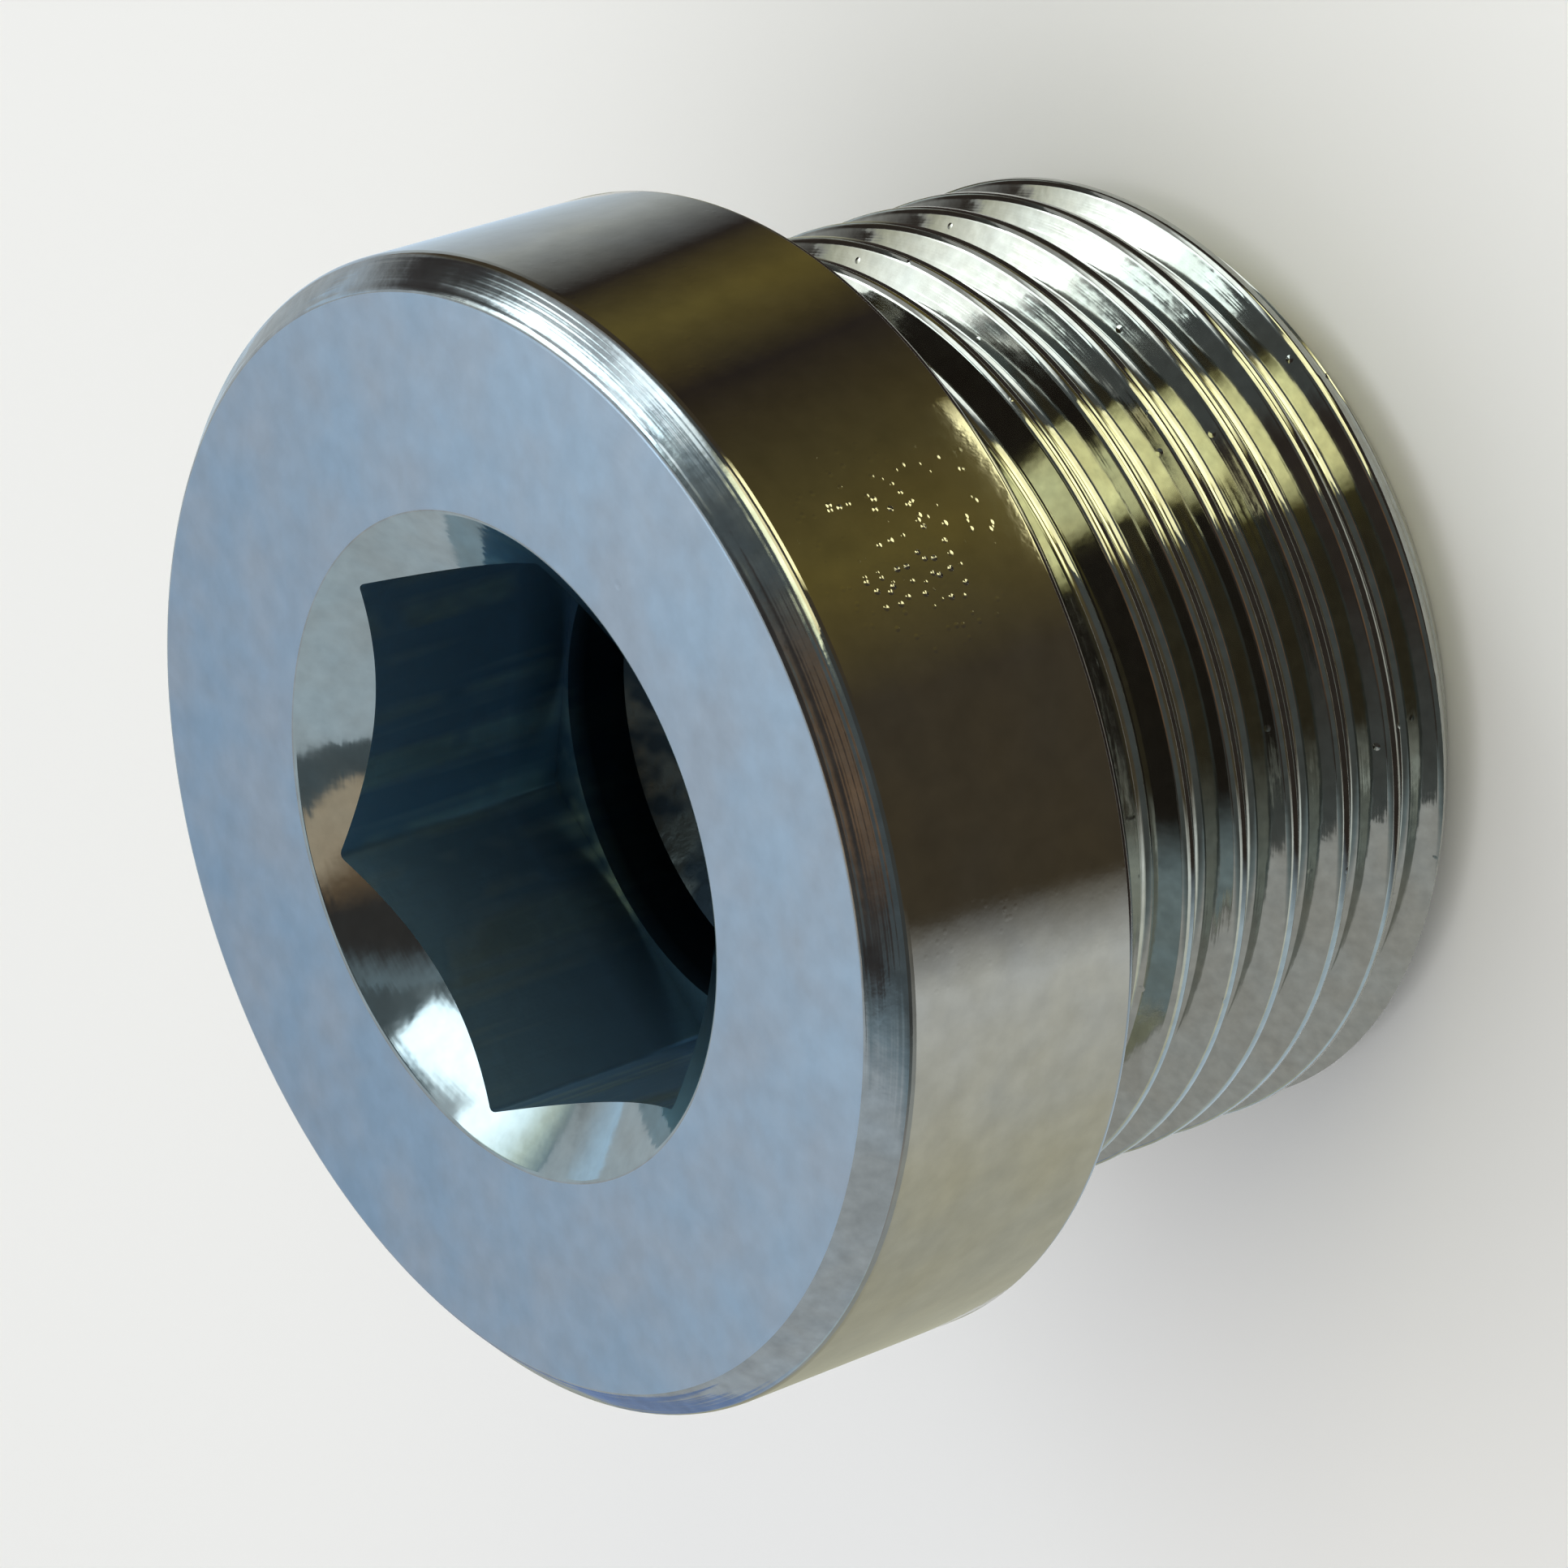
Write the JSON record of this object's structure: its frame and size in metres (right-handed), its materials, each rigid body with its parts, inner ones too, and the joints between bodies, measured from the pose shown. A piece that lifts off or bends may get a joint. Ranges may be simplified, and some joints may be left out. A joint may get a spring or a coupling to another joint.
{
  "type": "hex socket plug",
  "caption": "Round screw plug with a collar head, a countersunk hex socket in its face, a turned thread relief and a fine metric thread, for closing a tapped port.",
  "frame": {"origin": "centre of the flat thread end, which the plug stands on", "axes": "+Z along the plug's axis towards the face with the hex socket; +X through one corner of the hex"},
  "size_m": [0.026, 0.026, 0.019],
  "materials": {
    "zinc_plated_steel": "bright zinc plate with blue passivation over turned steel"
  },
  "bodies": {
    "root": {"plug_body": "zinc_plated_steel"}
  },
  "joints": []
}
